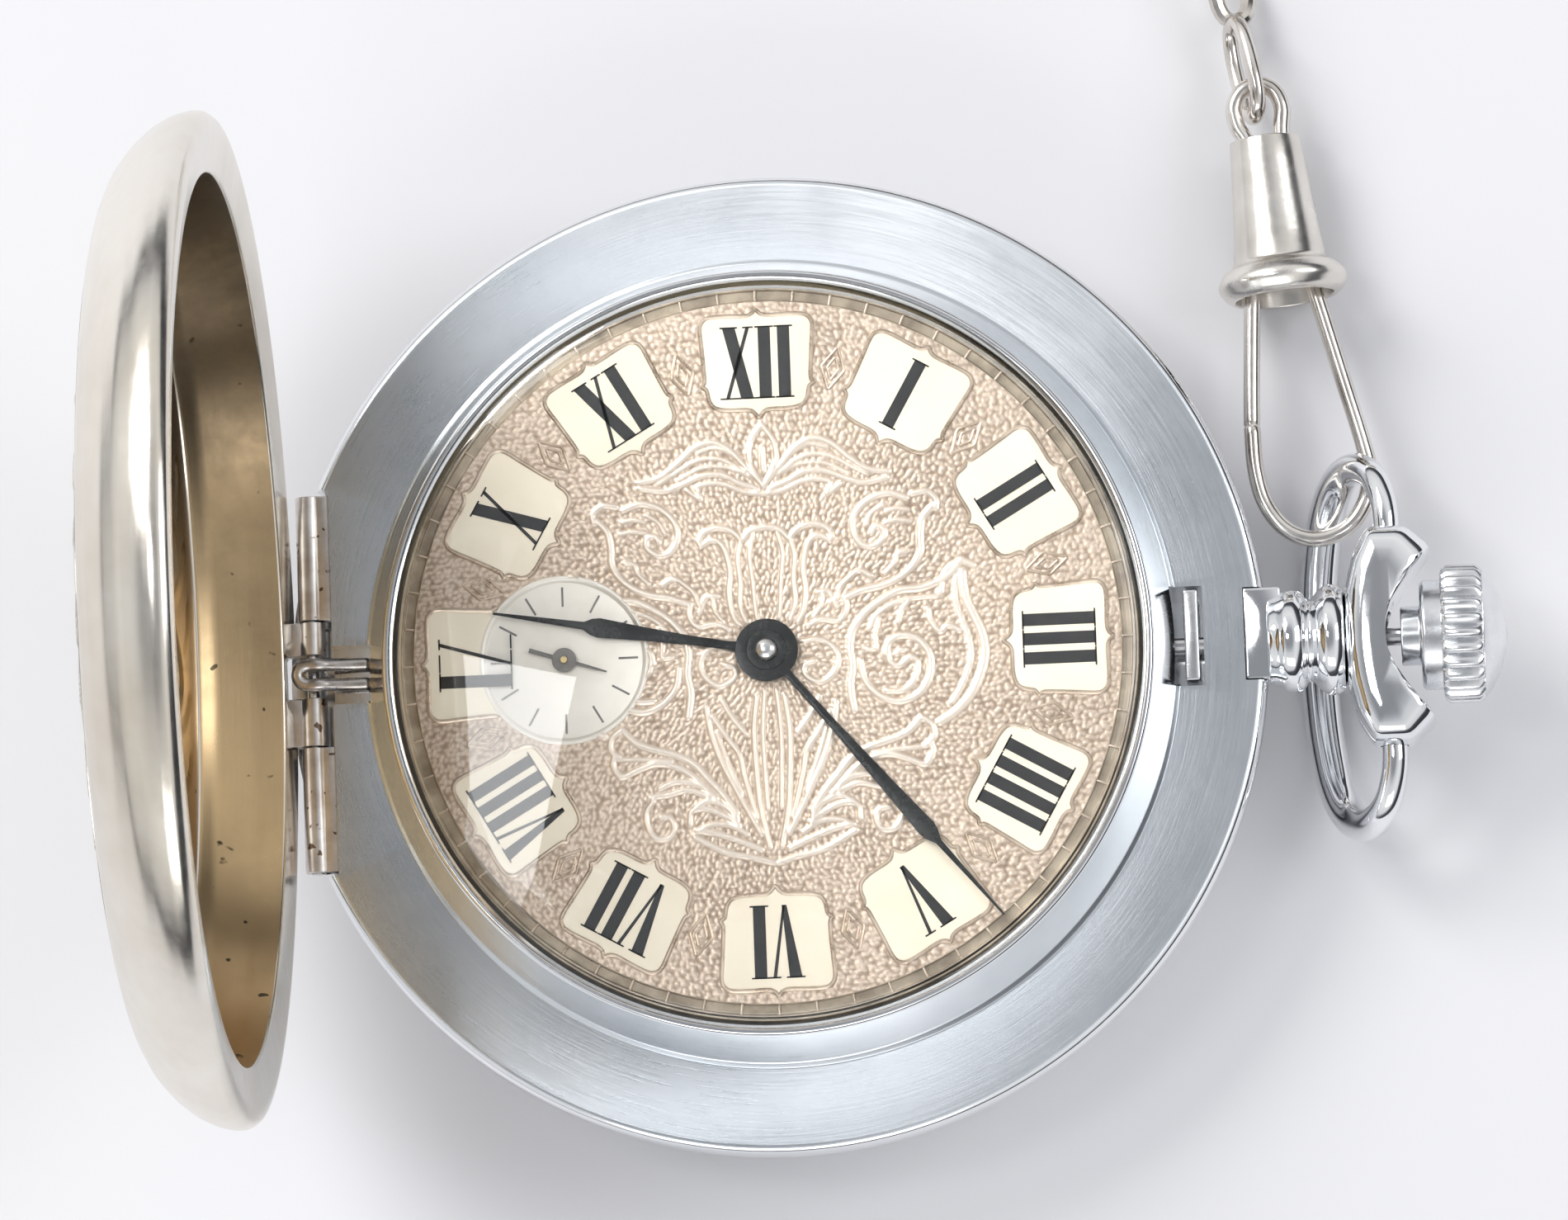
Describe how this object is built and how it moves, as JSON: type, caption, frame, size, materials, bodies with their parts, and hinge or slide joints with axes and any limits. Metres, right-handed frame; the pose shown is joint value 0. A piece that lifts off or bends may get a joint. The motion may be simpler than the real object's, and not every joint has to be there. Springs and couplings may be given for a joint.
{
  "type": "pocket watch",
  "caption": "Hunter-case pocket watch with sprung lid, dial, hands, winding crown, movement, bow, snap clasp and chain.",
  "frame": {"origin": "centre of the flat on the case back", "axes": "+Z out of the dial, +X from the case centre towards the crown at 3 o'clock, +Y towards 12 o'clock"},
  "size_m": [0.0722, 0.1039, 0.0563],
  "materials": {
    "polished_case": "polished",
    "brushed_rim": "circular brushed",
    "nickel": "worn polished nickel",
    "lid_inside": "warm brushed",
    "steel": "satin",
    "brass": "satin",
    "gilt": "frosted gilt",
    "black": "satin black",
    "dial": "pebbled metal with enamel cartouches",
    "crystal": "clear polished"
  },
  "bodies": {
    "case": {"case_middle": "brushed_rim", "case_back": "polished_case", "bezel": "polished_case", "crystal": "crystal", "hinge_knuckle_upper": "nickel", "hinge_knuckle_lower": "nickel", "hinge_pin": "steel", "lid_spring_wire": "steel", "pendant_neck": "polished_case", "pendant_yoke": "polished_case", "dial": "dial", "movement_ring": "brushed_rim", "main_plate": "gilt", "barrel_bridge": "gilt", "train_bridge": "gilt", "balance_cock": "gilt", "pallet_bridge": "gilt", "barrel_bridge_screw_a": "steel", "barrel_bridge_screw_b": "steel", "train_bridge_screw": "steel", "balance_cock_screw": "steel", "hairspring": "steel"},
    "lid": {"lid_ring": "nickel", "lid_panel": "lid_inside", "lid_knuckle": "nickel"},
    "setting_slide": {"setting_lever": "steel"},
    "stem": {"winding_stem": "steel"},
    "crown_head": {"crown": "polished_case"},
    "winding_pinions": {"winding_pinion": "steel", "clutch_pinion": "steel"},
    "catch": {"lid_catch": "brushed_rim"},
    "crown_gear": {"crown_wheel": "steel"},
    "ratchet": {"ratchet_wheel": "steel", "barrel_arbor": "steel"},
    "click_lever": {"click": "steel"},
    "spring_barrel": {"barrel": "brass", "barrel_cover": "brass", "mainspring": "steel"},
    "centre": {"centre_wheel": "brass", "cannon_pinion": "steel", "minute_hand": "black"},
    "hour": {"hour_wheel": "brass", "hour_hand": "black"},
    "motion_wheel": {"minute_wheel": "brass"},
    "third": {"third_wheel": "brass"},
    "fourth": {"fourth_wheel": "brass", "seconds_hand": "black"},
    "escape": {"escape_wheel": "steel"},
    "pallet": {"pallet_fork": "steel"},
    "balance": {"balance_wheel": "brass"},
    "bow_ring": {"bow": "polished_case"},
    "clasp": {"clasp_wire": "nickel", "chain_end_link": "nickel", "chain_run": "nickel", "chain_coil": "nickel", "chain_t_bar": "nickel"},
    "clasp_slider": {"clasp_sleeve": "nickel"}
  },
  "joints": [
    {"name": "lid_hinge", "type": "hinge", "parent": "case", "child": "lid", "pos_m": [-0.0236, 0, 0.0076], "axis": [0, 1, 0], "range_deg": [0, 90.5], "stiffness_Nm_per_rad": 0.006, "springref_deg": -28.65},
    {"name": "stem_pull", "type": "slide", "parent": "case", "child": "setting_slide", "axis": [1, 0, 0], "range_m": [0, 0.0007]},
    {"name": "stem_turn", "type": "hinge", "parent": "setting_slide", "child": "stem", "pos_m": [0.0096, 0, 0.0077], "axis": [1, 0, 0], "continuous": true},
    {"name": "crown_press", "type": "slide", "parent": "stem", "child": "crown_head", "axis": [1, 0, 0], "range_m": [-0.0005, 0], "stiffness_N_per_m": 400},
    {"name": "catch_slide", "type": "slide", "parent": "case", "child": "catch", "axis": [1, 0, 0], "range_m": [-0.0006, 0]},
    {"name": "winding_pinion_turn", "type": "hinge", "parent": "case", "child": "winding_pinions", "pos_m": [0.0156, 0, 0.0077], "axis": [1, 0, 0], "continuous": true},
    {"name": "crown_wheel_turn", "type": "hinge", "parent": "case", "child": "crown_gear", "pos_m": [0.011, 0, 0.0098], "axis": [0, 0, 1], "continuous": true},
    {"name": "ratchet_turn", "type": "hinge", "parent": "case", "child": "ratchet", "pos_m": [0.00439, 0.00704, 0.0098], "axis": [0, 0, 1], "continuous": true},
    {"name": "click_pivot", "type": "hinge", "parent": "case", "child": "click_lever", "pos_m": [0.0123, 0.0086, 0.0098], "axis": [0, 0, 1], "range_deg": [-5, 5]},
    {"name": "barrel_turn", "type": "hinge", "parent": "case", "child": "spring_barrel", "pos_m": [0.00439, 0.00704, 0.0098], "axis": [0, 0, -1], "continuous": true},
    {"name": "minute_turn", "type": "hinge", "parent": "case", "child": "centre", "pos_m": [0, 0, 0.0098], "axis": [0, 0, -1], "continuous": true},
    {"name": "hour_turn", "type": "hinge", "parent": "case", "child": "hour", "pos_m": [0, 0, 0.0098], "axis": [0, 0, -1], "continuous": true},
    {"name": "minute_wheel_turn", "type": "hinge", "parent": "case", "child": "motion_wheel", "pos_m": [0.00435, -0.00335, 0.0098], "axis": [0, 0, -1], "continuous": true},
    {"name": "third_turn", "type": "hinge", "parent": "case", "child": "third", "pos_m": [-0.0055, -0.00281, 0.0098], "axis": [0, 0, -1], "continuous": true},
    {"name": "seconds_turn", "type": "hinge", "parent": "case", "child": "fourth", "pos_m": [-0.0103, 0, 0.0098], "axis": [0, 0, -1], "continuous": true},
    {"name": "escape_turn", "type": "hinge", "parent": "case", "child": "escape", "pos_m": [-0.01336, -0.00365, 0.0098], "axis": [0, 0, -1], "continuous": true},
    {"name": "pallet_rock", "type": "hinge", "parent": "case", "child": "pallet", "pos_m": [-0.01113, -0.00608, 0.0098], "axis": [0, 0, 1], "range_deg": [-5, 5]},
    {"name": "balance_swing", "type": "hinge", "parent": "case", "child": "balance", "pos_m": [-0.0066, -0.011, 0.0098], "axis": [0, 0, 1], "range_deg": [-270, 270]},
    {"name": "bow_swing", "type": "hinge", "parent": "case", "child": "bow_ring", "pos_m": [0.0314, 0, 0.0077], "axis": [0, -1, 0], "range_deg": [0, 240]},
    {"name": "clasp_swing", "type": "hinge", "parent": "bow_ring", "child": "clasp", "pos_m": [0.02895, 0.0086, 0.00336], "axis": [0, 0, 1], "range_deg": [-4, 4]},
    {"name": "clasp_sleeve_slide", "type": "slide", "parent": "clasp", "child": "clasp_slider", "axis": [0.084, -0.9965, 0], "range_m": [0, 0.0012]}
  ],
  "couplings": [
    {"joint": "catch_slide", "follows": "crown_press", "ratio": 1.2},
    {"joint": "winding_pinion_turn", "follows": "stem_turn", "ratio": 1},
    {"joint": "crown_wheel_turn", "follows": "stem_turn", "ratio": 0.41176},
    {"joint": "ratchet_turn", "follows": "stem_turn", "ratio": -0.35},
    {"joint": "third_turn", "follows": "seconds_turn", "ratio": -0.13333},
    {"joint": "minute_turn", "follows": "seconds_turn", "ratio": 0.016667},
    {"joint": "hour_turn", "follows": "seconds_turn", "ratio": 0.0013889},
    {"joint": "minute_wheel_turn", "follows": "seconds_turn", "ratio": -0.0055556},
    {"joint": "barrel_turn", "follows": "seconds_turn", "ratio": -0.0027778},
    {"joint": "escape_turn", "follows": "seconds_turn", "ratio": -10}
  ]
}
